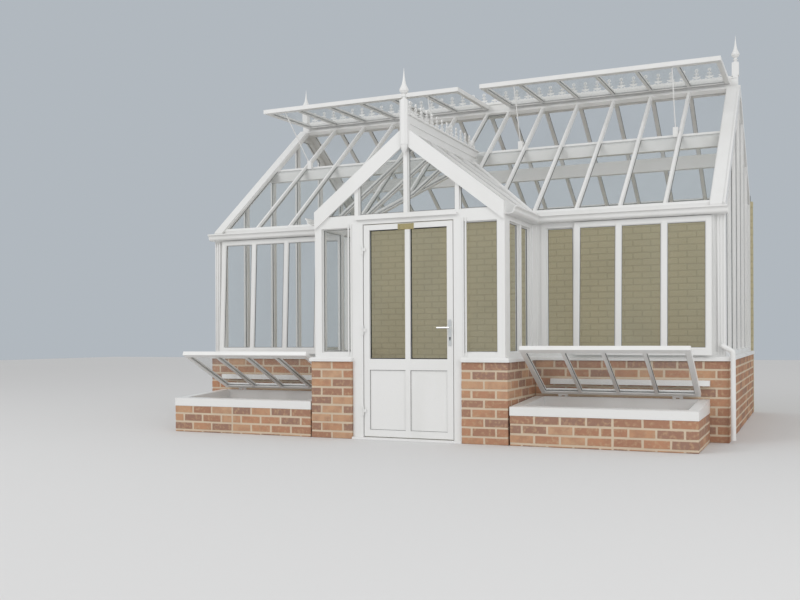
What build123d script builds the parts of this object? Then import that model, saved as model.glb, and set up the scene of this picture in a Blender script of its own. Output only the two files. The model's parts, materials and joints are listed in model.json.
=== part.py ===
from build123d import *
import os
from math import atan2, cos, radians, sin, sqrt, tan

os.makedirs("parts", exist_ok=True)

# A three-quarter-span glasshouse on a brick dwarf wall, with a gabled porch and two cold frames.
# Millimetres. X runs along the front, Y into the house, Z up. The origin lies on the ground under
# the middle of the front, in the plane of the glazed wings.

# Plan, to the outer faces of the glazed frames
half_length = 2697
house_depth = 3600
porch_half = 943
porch_reach = 880

# Heights above the ground
sill_underside = 722
sill_thick = 38
head_level = 2020
eaves_seat = 2075
rear_seat = 2600

# Roof
main_pitch = radians(38)
porch_pitch = main_pitch
ridge_at = 1980
ridge_half = 35
ridge_drop = 62
ridge_rise = 113
porch_ridge_half = 30
porch_ridge_deep = 212
bar_depth = 45
bar_width = 40
cap_width = 22
cap_deep = 12
roof_bays = 6
vent_gap = 133
corner_width = 116
valley_rail = 40
eaves_rail = 60
purlin_width = 80
front_header_low = 2840
pane_seat = 12
rear_purlin_deep = 130
front_purlin_at = 1150
rear_purlin_at = 2870
top_rail = 45
porch_bay = 440

# Brickwork, sill and floor
brick_thick = 103
brick_proud = 30
sill_proud = 45
sill_inner = 80
sill_chamfer = 12
floor_thick = 20

# Glazed frames
frame_depth = 50
rail = 45
glass_thick = 6
glass_set = 12
inner_post = 135
end_bays = 6
end_rail = 60
end_bar = 50
corner_post = 72

# Top-hung side sashes, built ajar
sash_panes = 3
fixed_width = 257
sash_lap = 22
jamb_wide = 42
jamb_sink = 12
sash_thick = 26
sash_stile = 45
sash_mullion = 42
sash_foot_rail = 60
sash_angle = radians(2.7)
sash_head_gap = 4
sash_foot_gap = 12
sash_side_gap = 3
sash_edge_lap = 2
sash_hinge_gap = 0.2

# Porch gable over the door
gable_base = 65
gable_rail = 50
gable_mullion = 40
outer_mullion_in = 43
drip_cap_over = 3

# Door
door_frame_half = 543
door_shift = 14
leaf_width = 885
leaf_top = 1990
leaf_thick = 44
leaf_setback = 4
leaf_stile = 57
leaf_muntin = 48
leaf_top_rail = 49
mid_rail_low = 645
mid_rail_high = 747
foot_rail = 62
door_gap = 8
panel_sink = 12
hinge_out = 12
hinge_radius = 6
hinge_play = 0.2
knuckle = 30
hinge_wing = 26
threshold_thick = 20

# Gutters and downpipe
gutter_low = 2022
gutter_reach = 107
gutter_height = 70
gutter_wall = 5
gutter_run_on = 25
rear_gutter_height = 80
pipe_radius = 22
pipe_bend = 26
pipe_out = 18
pipe_forward = 27
pipe_start_in = 25
pipe_outlet = 95
pipe_elbow = 50
pipe_offset = 30
pipe_ground_gap = 30

# Ridge vents, built open
vent_length = 1095
vent_lift = radians(-2)
vent_thick = 45
vent_lap = 10
vent_clear = 7
vent_rail = 48
vent_foot_rail = 92
vent_bar = 28
stay_radius = 6
stay_bars = (5, 1)
stay_clear = 1
left_stay_lean = -194

# Trim
barge_width = 130
barge_thick = 20
barge_end = 940
verge_inset = 25
verge_width = 102
verge_foot = -50
verge_head = 1850
verge_thick = 14
finial_post = 72
finial_foot = 54
porch_post = 76
post_shoulder = 10
main_post_rise = 141
porch_post_rise = 105
porch_post_drop = 88
crest_pitch = 136
crest_thick = 8
crest_base = 15

# Cold frames
lid_length = 862
lid_thick = 40
lid_rail = 44
lid_foot_rail = 60
lid_bar = 28
lid_bays = 4
lid_gap = 12
cold_gap = 12
cold_short = 135
lid_inset = 70
lift_right = radians(29.4)
lift_left = radians(25.3)
cold_reach = 905
cold_wall_height = 262
rim_top = 338
rim_width = 90
cheek_thick = 90
cheek_top = 383
wall_rail_low = 500
wall_rail_high = 550
wall_rail_thick = 45
wall_rail_inset = 145
wall_rail_short = 132
lid_hinge_y = -85
lid_hinge_z = 402
lid_hinge_radius = 7
lid_hinge_inset = 200

# Slopes that follow from the sizes above
main_rise = tan(main_pitch)
porch_rise = tan(porch_pitch)
ridge_seat = eaves_seat + main_rise * ridge_at
ridge_bottom = ridge_seat - ridge_drop
ridge_top = ridge_seat + ridge_rise
porch_ridge_bottom = eaves_seat + porch_rise * (porch_half - porch_ridge_half)
porch_ridge_top = porch_ridge_bottom + porch_ridge_deep
rear_rise = (ridge_seat - rear_seat) / (house_depth - ridge_at)
rear_pitch = atan2(rear_rise, 1)
valley_slope = porch_rise / main_rise
edge_line = half_length - corner_width
bay = (edge_line - vent_gap) / roof_bays
rafter_lines = [edge_line - bay * k for k in range(roof_bays + 1)]
half_bar = bar_width / 2
half_cap = cap_width / 2
bar_base = bar_depth - cap_deep
sill_top = sill_underside + sill_thick

front_slope = Plane(
    origin=(0, 0, eaves_seat), x_dir=(1, 0, 0), z_dir=(0, -sin(main_pitch), cos(main_pitch))
)
rear_slope = Plane(
    origin=(0, house_depth, rear_seat), x_dir=(-1, 0, 0), z_dir=(0, sin(rear_pitch), cos(rear_pitch))
)
porch_slope = Plane(
    origin=(porch_half, 0, eaves_seat), x_dir=(0, 1, 0), z_dir=(sin(porch_pitch), 0, cos(porch_pitch))
)
valley_cut = Plane(origin=(porch_half, 0, 0), z_dir=(valley_slope, 1, 0))


def on_front(points):
    return [(x, y / cos(main_pitch)) for x, y in points]


def on_rear(points):
    return [(-x, (house_depth - y) / cos(rear_pitch)) for x, y in points]


def on_porch(points):
    return [(y, (porch_half - x) / cos(porch_pitch)) for x, y in points]


def front_under(y):
    return eaves_seat + main_rise * y


def rear_under(y):
    return rear_seat + rear_rise * (house_depth - y)


def porch_under(x):
    return eaves_seat + porch_rise * (porch_half - x)


def box_points(x0, x1, y0, y1):
    return [(x0, y0), (x1, y0), (x1, y1), (x0, y1)]


def upright(y):
    return Plane(origin=(0, y, 0), x_dir=(1, 0, 0), z_dir=(0, -1, 0))


def sideways(x):
    return Plane(origin=(x, 0, 0), x_dir=(0, 1, 0), z_dir=(1, 0, 0))


# A frame of bars: an outline with its panes cut out, as deep as the bars
def bar_panel(plane, outline, openings, depth, cuts=()):
    with BuildPart() as panel:
        with BuildSketch(plane):
            Polygon(*outline, align=None)
            for points in openings:
                Polygon(*points, align=None, mode=Mode.SUBTRACT)
        extrude(amount=depth)
        for cut in cuts:
            split(bisect_by=cut, keep=Keep.TOP)
    return panel


# One pane in each opening of one or more panels
def glazing(sets, thick=glass_thick):
    with BuildPart() as sheets:
        for plane, openings in sets:
            with BuildSketch(plane.offset(glass_set)):
                for points in openings:
                    Polygon(*points, align=None)
            extrude(amount=thick)
    return sheets


def both_sides(piece):
    with BuildPart() as pair:
        add(piece.part)
        mirror(about=Plane.YZ)
    return pair


def mirrored(piece):
    with BuildPart() as other:
        mirror(piece.part, about=Plane.YZ)
    return other


# Floor, up to the inner faces of the dwarf walls
inner_x = half_length + brick_proud - brick_thick
inner_y = brick_thick - brick_proud
porch_inner_x = porch_half + brick_proud - brick_thick
porch_inner_y = -porch_reach + inner_y
with BuildPart() as floor_slab:
    with BuildSketch():
        Polygon(
            (-inner_x, inner_y), (-porch_inner_x, inner_y), (-porch_inner_x, porch_inner_y),
            (porch_inner_x, porch_inner_y), (porch_inner_x, inner_y), (inner_x, inner_y),
            (inner_x, house_depth), (-inner_x, house_depth), align=None,
        )
    extrude(amount=floor_thick)

# Dwarf walls: wing fronts, ends, and an angle each side of the door
with BuildPart() as brick_front:
    with BuildSketch():
        Polygon(
            *box_points(porch_half + brick_proud, half_length + brick_proud, -brick_proud, inner_y),
            align=None,
        )
    extrude(amount=sill_underside)

with BuildPart() as brick_end:
    with BuildSketch():
        Polygon(*box_points(inner_x, half_length + brick_proud, inner_y, house_depth), align=None)
    extrude(amount=sill_underside)

with BuildPart() as brick_porch_side:
    with BuildSketch():
        Polygon(
            (door_frame_half, -porch_reach - brick_proud),
            (porch_half + brick_proud, -porch_reach - brick_proud),
            (porch_half + brick_proud, inner_y), (porch_inner_x, inner_y),
            (porch_inner_x, porch_inner_y), (door_frame_half, porch_inner_y), align=None,
        )
    extrude(amount=sill_underside)

# Painted wall that the house leans on, as long as the house
with BuildPart() as back_wall:
    with BuildSketch():
        Polygon(
            *box_points(
                -half_length - brick_proud, half_length + brick_proud,
                house_depth, house_depth + brick_thick,
            ),
            align=None,
        )
    extrude(amount=rear_seat)

# Sill, with a weathered outer edge
with BuildPart() as sill:
    with BuildSketch(Plane.XY.offset(sill_underside)):
        Polygon(
            (door_frame_half, -porch_reach - sill_proud),
            (porch_half + sill_proud, -porch_reach - sill_proud),
            (porch_half + sill_proud, -sill_proud), (half_length + sill_proud, -sill_proud),
            (half_length + sill_proud, house_depth), (half_length - sill_inner, house_depth),
            (half_length - sill_inner, sill_inner), (porch_half - sill_inner, sill_inner),
            (porch_half - sill_inner, sill_inner - porch_reach),
            (door_frame_half, sill_inner - porch_reach), align=None,
        )
    extrude(amount=sill_thick)
    outer_edges = (
        sill.edges().filter_by(Plane.XY).group_by(Axis.Z)[-1]
        .filter_by(lambda e: e.center().Y < -sill_proud + 1 or e.center().X > half_length)
        .filter_by(lambda e: e.length > corner_width and abs(e.center().X - door_frame_half) > 1)
    )
    chamfer(outer_edges, length=sill_chamfer)

# Wing front: a fixed light beside the porch and the opening that the side sash closes
pane_low = sill_top + rail
pane_high = head_level - rail
sash_left_line = porch_half + inner_post + fixed_width + sash_lap
sash_bay = (edge_line - sash_left_line) / sash_panes
fixed_light = [
    box_points(porch_half + inner_post, sash_left_line - sash_lap, pane_low, pane_high)
]
sash_opening = box_points(sash_left_line + sash_lap, edge_line - sash_lap, pane_low, pane_high)
front_wall_plane = upright(frame_depth)
under_front_roof = Plane(origin=front_slope.origin, z_dir=-front_slope.z_dir)
front_wall = bar_panel(
    front_wall_plane, box_points(porch_half, half_length, sill_top, front_under(frame_depth)),
    fixed_light + [sash_opening], frame_depth, [under_front_roof],
)
jambs = [
    box_points(edge_line + sash_lap, edge_line + jamb_wide, pane_low, head_level),
    box_points(porch_half + jamb_wide, porch_half + 2 * jamb_wide, pane_low, head_level),
]
with BuildPart() as front_frame:
    add(front_wall.part)
    with BuildSketch(upright(0)):
        for points in jambs:
            Polygon(*points, align=None)
    extrude(amount=-jamb_sink, mode=Mode.SUBTRACT)

# House end: bars from sill to rake, flat at the apex where the finial stands
end_plane = sideways(half_length - frame_depth)
front_end_of_ridge = ridge_at - ridge_half
back_end_of_ridge = ridge_at + ridge_half
end_outline = [
    (frame_depth, sill_top), (house_depth, sill_top), (house_depth, rear_under(house_depth)),
    (back_end_of_ridge, rear_under(back_end_of_ridge)), (back_end_of_ridge, ridge_seat),
    (front_end_of_ridge, ridge_seat), (front_end_of_ridge, front_under(front_end_of_ridge)),
    (frame_depth, front_under(frame_depth)),
]
end_bay = house_depth / end_bays
front_drop = end_rail / cos(main_pitch)
rear_drop = end_rail / cos(rear_pitch)
apex_low = ridge_bottom - end_rail
apex_front = (apex_low + front_drop - eaves_seat) / main_rise
apex_rear = house_depth - (apex_low + rear_drop - rear_seat) / rear_rise


def end_opening(y0, y1):
    low_edge = [(y1, pane_low), (y0, pane_low)]
    front_top = front_under(y0) - front_drop
    if y1 <= ridge_at:
        return low_edge + [(y0, front_top), (y1, front_under(y1) - front_drop)]
    rear_top = rear_under(y1) - rear_drop
    if y0 >= ridge_at:
        return low_edge + [(y0, rear_under(y0) - rear_drop), (y1, rear_top)]
    return low_edge + [(y0, front_top), (apex_front, apex_low), (apex_rear, apex_low), (y1, rear_top)]


end_openings = []
for k in range(end_bays):
    y_from = frame_depth + rail if k == 0 else end_bay * k + end_bar / 2
    y_to = house_depth - rail if k == end_bays - 1 else end_bay * (k + 1) - end_bar / 2
    end_openings.append(end_opening(y_from, y_to))
end_frame = bar_panel(end_plane, end_outline, end_openings, frame_depth)

# Porch frame: the light beside the door, the corner post and the two side lights
porch_front_plane = upright(-porch_reach + frame_depth)
porch_side_plane = sideways(porch_half - frame_depth)
door_light = [box_points(door_frame_half + half_bar, porch_half - corner_post, pane_low, pane_high)]
side_from = -porch_reach + 2 * corner_post
side_mid = -porch_reach / 2 + frame_depth
side_to = -corner_post
side_lights = [
    box_points(side_from, side_mid - half_bar, pane_low, pane_high),
    box_points(side_mid + half_bar, side_to, pane_low, pane_high),
]
with BuildPart() as porch_frame_right:
    with BuildSketch(porch_side_plane):
        Polygon(
            *box_points(
                -porch_reach + frame_depth, frame_depth, sill_top, porch_under(porch_half - frame_depth)
            ),
            align=None,
        )
        for points in side_lights:
            Polygon(*points, align=None, mode=Mode.SUBTRACT)
    extrude(amount=frame_depth)
    split(bisect_by=Plane(origin=porch_slope.origin, z_dir=-porch_slope.z_dir), keep=Keep.TOP)
    with BuildSketch(porch_front_plane):
        Polygon(*box_points(door_frame_half, porch_half, sill_top, head_level), align=None)
        Polygon(*door_light[0], align=None, mode=Mode.SUBTRACT)
    extrude(amount=frame_depth)

# Porch gable above the door head, with three mullions and a drip cap over the door
gable_base_top = head_level + gable_base
gable_drop = gable_rail / cos(porch_pitch)
outer_mullion_at = door_frame_half - outer_mullion_in
gable_outline = [
    (-porch_half, head_level), (porch_half, head_level), (porch_half, eaves_seat),
    (porch_ridge_half, porch_under(porch_ridge_half)), (porch_ridge_half, porch_ridge_bottom),
    (-porch_ridge_half, porch_ridge_bottom), (-porch_ridge_half, porch_under(porch_ridge_half)),
    (-porch_half, eaves_seat),
]
tall_from = gable_mullion / 2
tall_to = outer_mullion_at - gable_mullion / 2
wedge_from = outer_mullion_at + gable_mullion / 2
wedge_to = porch_half - (gable_base_top + gable_drop - eaves_seat) / porch_rise
gable_right = [
    [
        (tall_from, gable_base_top), (tall_to, gable_base_top),
        (tall_to, porch_under(tall_to) - gable_drop),
        (tall_from, porch_under(tall_from) - gable_drop),
    ],
    [
        (wedge_from, gable_base_top), (wedge_to, gable_base_top),
        (wedge_from, porch_under(wedge_from) - gable_drop),
    ],
]
gable_left = [[(-x, z) for x, z in points] for points in gable_right]
cap_low = 2040
cap_thick = 22
cap_half = outer_mullion_at + drip_cap_over
cap_proud = 28
with BuildPart() as porch_gable:
    with BuildSketch(porch_front_plane):
        Polygon(*gable_outline, align=None)
        for points in gable_right + gable_left:
            Polygon(*points, align=None, mode=Mode.SUBTRACT)
    extrude(amount=frame_depth)
    with BuildSketch(upright(-porch_reach)):
        Polygon(*box_points(-cap_half, cap_half, cap_low, cap_low + cap_thick), align=None)
    extrude(amount=cap_proud)

# Door frame and threshold
leaf_left = door_shift - leaf_width / 2
leaf_right = door_shift + leaf_width / 2
leaf_front = -porch_reach + leaf_setback
leaf_back = leaf_front + leaf_thick
hinge_x = leaf_left - door_gap / 2
hinge_y = leaf_front - hinge_out
hinge_levels = (250, 1000, 1750)
with BuildPart() as door_frame:
    with BuildSketch(porch_front_plane):
        Polygon(*box_points(-door_frame_half, door_frame_half, threshold_thick, head_level), align=None)
        Polygon(
            *box_points(leaf_left - door_gap, leaf_right + door_gap, threshold_thick, leaf_top + door_gap),
            align=None, mode=Mode.SUBTRACT,
        )
    extrude(amount=frame_depth)
    with BuildSketch():
        Polygon(
            *box_points(
                -door_frame_half, door_frame_half, -porch_reach - brick_proud, porch_inner_y
            ),
            align=None,
        )
    extrude(amount=threshold_thick)
    for level in hinge_levels:
        for low in (level - knuckle, level + knuckle):
            with BuildSketch(Plane.XY.offset(low)):
                with Locations((hinge_x, hinge_y)):
                    RegularPolygon(hinge_radius, 8)
                Polygon(*box_points(hinge_x - hinge_wing, hinge_x, hinge_y, -porch_reach), align=None)
            extrude(amount=knuckle)

# Door leaf: two glazed panes over two sunk panels, hinged on the left
leaf_bottom = threshold_thick + door_gap
muntin_left = door_shift - leaf_muntin / 2
muntin_right = door_shift + leaf_muntin / 2
leaf_columns = [(leaf_left + leaf_stile, muntin_left), (muntin_right, leaf_right - leaf_stile)]
leaf_panes = [box_points(x0, x1, mid_rail_high, leaf_top - leaf_top_rail) for x0, x1 in leaf_columns]
with BuildPart() as door_leaf:
    with BuildSketch(upright(leaf_back)):
        Polygon(*box_points(leaf_left, leaf_right, leaf_bottom, leaf_top), align=None)
        for points in leaf_panes:
            Polygon(*points, align=None, mode=Mode.SUBTRACT)
    extrude(amount=leaf_thick)
    for face_at, way in ((leaf_back, 1), (leaf_front, -1)):
        with BuildSketch(upright(face_at)):
            for x0, x1 in leaf_columns:
                Polygon(*box_points(x0, x1, leaf_bottom + foot_rail, mid_rail_low), align=None)
        extrude(amount=way * panel_sink, mode=Mode.SUBTRACT)
    for level in hinge_levels:
        with BuildSketch(Plane.XY.offset(level + hinge_play)):
            with Locations((hinge_x, hinge_y)):
                Circle(hinge_radius)
            Polygon(*box_points(hinge_x, hinge_x + hinge_wing, hinge_y, leaf_front), align=None)
        extrude(amount=knuckle - 2 * hinge_play)

door_glass = glazing([(upright(leaf_back), leaf_panes)])

# Lever handles on both faces of the leaf
plate_width = 30
plate_low = 868
plate_high = 1103
plate_thick = 6
lever_level = 1030
lever_reach = 45
lever_length = 112
lever_radius = 8
handle_x = leaf_right - leaf_stile / 2
with BuildPart() as door_handle:
    for face_at, way in ((leaf_front, 1), (leaf_back, -1)):
        with BuildSketch(upright(face_at)):
            with Locations((handle_x, (plate_low + plate_high) / 2)):
                RectangleRounded(plate_width, plate_high - plate_low, plate_width / 3)
        extrude(amount=way * plate_thick)
        with BuildLine():
            Polyline(
                (handle_x, face_at - way * plate_thick, lever_level),
                (handle_x, face_at - way * lever_reach, lever_level),
                (handle_x - lever_length, face_at - way * lever_reach, lever_level),
            )
        with BuildSketch(Plane(origin=(handle_x, face_at - way * plate_thick, lever_level), z_dir=(0, -way, 0))):
            RegularPolygon(lever_radius, 8)
        sweep(transition=Transition.RIGHT)

# Side sash: three panes, hung from its top edge
sash_height = head_level - sill_top - sash_head_gap - sash_foot_gap
sash_plane = Plane(
    origin=(0, -sash_hinge_gap, head_level - sash_head_gap), x_dir=(1, 0, 0), z_dir=(0, -cos(sash_angle), sin(sash_angle))
)
sash_x0 = sash_left_line - sash_side_gap
sash_x1 = edge_line + sash_edge_lap
sash_panes_at = []
for k in range(sash_panes):
    x0 = sash_x0 + sash_stile if k == 0 else sash_left_line + sash_bay * k + sash_mullion / 2
    x1 = sash_x1 - sash_stile if k == sash_panes - 1 else sash_left_line + sash_bay * (k + 1) - sash_mullion / 2
    sash_panes_at.append(box_points(x0, x1, -sash_height + sash_foot_rail, -sash_stile))
side_sashes = both_sides(
    bar_panel(sash_plane, box_points(sash_x0, sash_x1, -sash_height, 0), sash_panes_at, sash_thick)
)
sash_glass = both_sides(glazing([(sash_plane, sash_panes_at)]))

# Glass of the fixed walls
front_glass = both_sides(glazing([(front_wall_plane, fixed_light)]))
end_glass = both_sides(glazing([(end_plane, end_openings)]))
with BuildPart() as porch_glass:
    add(both_sides(glazing([(porch_front_plane, door_light), (porch_side_plane, side_lights)])).part)
    add(glazing([(porch_front_plane, gable_right + gable_left)]).part)

# Front roof slope: rafters from the eaves or the valley up to a rail under the ridge
valley_offset = valley_rail * sqrt(1 + valley_slope**2)
valley_foot = porch_half - (eaves_rail - valley_offset) / valley_slope
valley_top = valley_slope * porch_half
rafter_top = front_end_of_ridge - top_rail


def valley_y(x):
    return max(valley_slope * (porch_half - x) + valley_offset, eaves_rail)


def rafter_outline(x0, x1):
    foot = [(x0, valley_y(x0)), (x1, valley_y(x1))]
    if x0 < valley_foot < x1:
        foot.insert(1, (valley_foot, eaves_rail))
    return on_front(foot + [(x1, rafter_top), (x0, rafter_top)])


# Each rafter carries a narrower glazing cap; the end ones are full depth under the verge
with BuildPart() as rafter_set:
    for half_width, plane, depth in (
        (half_bar, front_slope, bar_base), (half_cap, front_slope.offset(bar_base), cap_deep)
    ):
        with BuildSketch(plane):
            for line in rafter_lines[1:]:
                Polygon(*rafter_outline(line - half_width, line + half_width), align=None)
        extrude(amount=depth)
    with BuildSketch(front_slope):
        Polygon(*rafter_outline(edge_line - half_bar, half_length), align=None)
    extrude(amount=bar_depth)

with BuildPart() as rail_set:
    with BuildSketch(front_slope):
        Polygon(
            *on_front([
                (0, valley_top), (porch_half, 0), (half_length, 0), (half_length, eaves_rail),
                (valley_foot, eaves_rail), (0, valley_top + valley_offset),
            ]),
            align=None,
        )
        Polygon(*on_front(box_points(0, half_length, rafter_top, front_end_of_ridge)), align=None)
    extrude(amount=bar_depth)
    split(bisect_by=Plane(origin=(0, 0, 0), z_dir=(0, 1, 0)), keep=Keep.TOP)
    split(bisect_by=Plane(origin=(0, front_end_of_ridge, 0), z_dir=(0, -1, 0)), keep=Keep.TOP)
    split(bisect_by=valley_cut, keep=Keep.TOP)

# Fixed panes end over the header; the ridge vents cover the bays above it
front_bays = [(0, vent_gap)] + [(line - bay, line) for line in reversed(rafter_lines[:-1])]
front_panes = []
for x_from, x_to in front_bays:
    x0 = x_from + half_bar if x_from > 0 else 0
    x1 = x_to - half_bar
    pane_top = rafter_top if x_from == 0 else front_purlin_at - purlin_width / 2 + pane_seat
    front_panes.append([(x0, valley_y(x0)), (x1, valley_y(x1)), (x1, pane_top), (x0, pane_top)])
front_roof_glass = both_sides(glazing([(front_slope, [on_front(points) for points in front_panes])]))

# Rear roof slope
rear_lines = sorted(rafter_lines + [-line for line in rafter_lines])
slope_margin = 80
rear_cuts = [
    Plane(origin=(0, back_end_of_ridge, 0), z_dir=(0, 1, 0)),
    Plane(origin=(0, house_depth, 0), z_dir=(0, -1, 0)),
]
rear_outline = on_rear(
    box_points(-half_length, half_length, ridge_at - slope_margin, house_depth + slope_margin)
)


def rear_openings(half_width):
    y0 = back_end_of_ridge + top_rail
    y1 = house_depth - eaves_rail
    spans = zip(rear_lines, rear_lines[1:])
    return [on_rear(box_points(x0 + half_width, x1 - half_width, y0, y1)) for x0, x1 in spans]


with BuildPart() as rear_roof:
    add(bar_panel(rear_slope, rear_outline, rear_openings(half_bar), bar_base, rear_cuts).part)
    add(
        bar_panel(
            rear_slope.offset(bar_base), rear_outline, rear_openings(half_cap), cap_deep, rear_cuts
        ).part
    )
rear_roof_glass = glazing([(rear_slope, rear_openings(half_bar))])

# Purlins under the rafters, from end to end
purlin_end = half_length - frame_depth
with BuildPart() as roof_purlins:
    with BuildSketch(sideways(-purlin_end)):
        y0 = front_purlin_at - purlin_width / 2
        y1 = front_purlin_at + purlin_width / 2
        Polygon(
            (y0, front_header_low), (y1, front_header_low), (y1, front_under(y1)), (y0, front_under(y0)),
            align=None,
        )
        y0 = rear_purlin_at - purlin_width / 2
        y1 = rear_purlin_at + purlin_width / 2
        purlin_low = rear_under(rear_purlin_at) - rear_purlin_deep
        Polygon((y0, purlin_low), (y1, purlin_low), (y1, rear_under(y1)), (y0, rear_under(y0)), align=None)
    extrude(amount=2 * purlin_end)

# Porch roof slope, cut by the same valley
porch_front_edge = -porch_reach
porch_high_x = porch_ridge_half + bar_width
porch_low_x = porch_half - rail
valley_offset_x = valley_rail * sqrt(1 + 1 / valley_slope**2)


def valley_x(y):
    return min(porch_half - y / valley_slope - valley_offset_x, porch_low_x)


last_apex = (porch_half - valley_offset_x - porch_high_x) * valley_slope


def porch_openings(half_width):
    bays = [
        (porch_front_edge + rail + half_bar, -porch_bay - half_width),
        (-porch_bay + half_width, -half_width),
        (half_width, porch_bay - half_width),
    ]
    panes = [
        [(porch_high_x, y0), (valley_x(y0), y0), (valley_x(y1), y1), (porch_high_x, y1)] for y0, y1 in bays
    ]
    last_y = porch_bay + half_width
    panes.append([(porch_high_x, last_y), (valley_x(last_y), last_y), (porch_high_x, last_apex)])
    return [on_porch(points) for points in panes]


porch_roof_outline = on_porch(
    box_points(
        porch_ridge_half - slope_margin, porch_half + slope_margin,
        porch_front_edge, porch_half * valley_slope + slope_margin,
    )
)
porch_cuts = [
    Plane(origin=(porch_half, 0, 0), z_dir=(-1, 0, 0)),
    Plane(origin=(porch_ridge_half, 0, 0), z_dir=(1, 0, 0)),
    Plane(origin=valley_cut.origin, z_dir=-valley_cut.z_dir),
]
with BuildPart() as porch_roof_right:
    add(bar_panel(porch_slope, porch_roof_outline, porch_openings(half_bar), bar_base, porch_cuts).part)
    add(
        bar_panel(
            porch_slope.offset(bar_base), porch_roof_outline, porch_openings(half_cap), cap_deep, porch_cuts
        ).part
    )
porch_roof_glass = both_sides(glazing([(porch_slope, porch_openings(half_bar))]))

# Main ridge, with a weathered cap, between the two finial posts
cap_over = 13
cap_rise = 23
finial_x = half_length - frame_depth
ridge_end = finial_x - finial_foot / 2
with BuildPart() as ridge:
    with BuildSketch(sideways(-ridge_end)):
        Polygon(
            (front_end_of_ridge, ridge_bottom), (back_end_of_ridge, ridge_bottom),
            (back_end_of_ridge, ridge_top - cap_rise), (back_end_of_ridge + cap_over, ridge_top - cap_rise),
            (back_end_of_ridge + cap_over, ridge_top - cap_rise / 2), (ridge_at + half_bar, ridge_top),
            (ridge_at - half_bar, ridge_top), (front_end_of_ridge - cap_over, ridge_top - cap_rise / 2),
            (front_end_of_ridge - cap_over, ridge_top - cap_rise), (front_end_of_ridge, ridge_top - cap_rise),
            align=None,
        )
    extrude(amount=2 * ridge_end)

# Porch ridge, scribed to the main slope at its back end
porch_ridge_back = 1300
main_roof_top = Plane(
    origin=front_slope.origin + front_slope.z_dir * bar_depth, x_dir=(1, 0, 0), z_dir=front_slope.z_dir
)
with BuildPart() as porch_ridge:
    with BuildSketch(upright(porch_front_edge)):
        Polygon(
            (-porch_ridge_half, porch_ridge_bottom), (porch_ridge_half, porch_ridge_bottom),
            (porch_ridge_half, porch_ridge_top - cap_rise),
            (porch_ridge_half + cap_over, porch_ridge_top - cap_rise),
            (porch_ridge_half + cap_over, porch_ridge_top - cap_rise / 2), (half_bar, porch_ridge_top),
            (-half_bar, porch_ridge_top), (-porch_ridge_half - cap_over, porch_ridge_top - cap_rise / 2),
            (-porch_ridge_half - cap_over, porch_ridge_top - cap_rise),
            (-porch_ridge_half, porch_ridge_top - cap_rise), align=None,
        )
    extrude(amount=porch_front_edge - porch_ridge_back)
    split(bisect_by=main_roof_top, keep=Keep.TOP)
with BuildPart() as ridges:
    add(ridge.part)
    add(porch_ridge.part)


# Cresting: a pierced head on a crossed stem between two leaves, repeated along a thin base
half_stem = 5
leaf_tip = 32
leaf_reach = 46
cross_level = 62
cross_reach = 22
ring_level = 98
ring_outer = 20
ring_inner = 10
motif_right = [
    (half_stem, 0), (leaf_reach, leaf_tip), (half_stem, leaf_tip), (cross_reach, cross_level),
    (half_stem, ring_level),
]
motif = motif_right + [(-x, z) for x, z in reversed(motif_right)]


def cresting_run(plane, length):
    count = int(length // crest_pitch)
    places = [(k - (count - 1) / 2) * crest_pitch for k in range(count)]
    with BuildPart() as run:
        with BuildSketch(plane):
            Rectangle(length, crest_base, align=(Align.CENTER, Align.MIN))
            with Locations(*[(x, crest_base - 1) for x in places]):
                Polygon(*motif, align=None)
            with Locations(*[(x, crest_base + ring_level) for x in places]):
                RegularPolygon(ring_outer, 6)
                RegularPolygon(ring_inner, 4, mode=Mode.SUBTRACT)
        extrude(amount=crest_thick / 2, both=True)
    return run


porch_crest_end = (porch_ridge_top - eaves_seat - bar_depth / cos(main_pitch)) / main_rise
porch_crest_start = porch_front_edge - barge_thick + porch_post / 2
main_crest_plane = Plane(origin=(0, ridge_at, ridge_top), x_dir=(1, 0, 0), z_dir=(0, -1, 0))
porch_crest_plane = Plane(
    origin=(0, (porch_crest_end + porch_crest_start) / 2, porch_ridge_top),
    x_dir=(0, 1, 0), z_dir=(1, 0, 0),
)
with BuildPart() as cresting:
    add(cresting_run(main_crest_plane, 2 * finial_x - finial_post).part)
    add(cresting_run(porch_crest_plane, porch_crest_end - porch_crest_start).part)

# Finials: turned spires on square posts at the ridge ends, and on an eight-sided post with a drop
# at the porch. Each pair is a radius and a height above the post.
spire_shape = [
    (29, 0), (29, 9), (16, 17), (15, 27), (25, 31), (25, 38), (15, 42), (16, 54), (31, 66), (42, 84),
    (42, 100), (34, 116), (21, 144), (12, 186), (5, 245), (1, 295),
]
main_post_step = ridge_top + post_shoulder
main_post_top = main_post_step + main_post_rise
porch_post_top = porch_ridge_top + porch_post_rise
porch_post_bottom = porch_ridge_bottom - porch_post_drop
drop_shape = [(4, -95), (12, -74), (25, -50), (33, -24), (35, 0)]
spire_sides = 16


def turned(shape, x, y, z):
    with BuildPart() as piece:
        for radius, height in shape:
            with BuildSketch(Plane(origin=(x, y, z + height))):
                RegularPolygon(radius, spire_sides)
        loft(ruled=True)
    return piece


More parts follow.
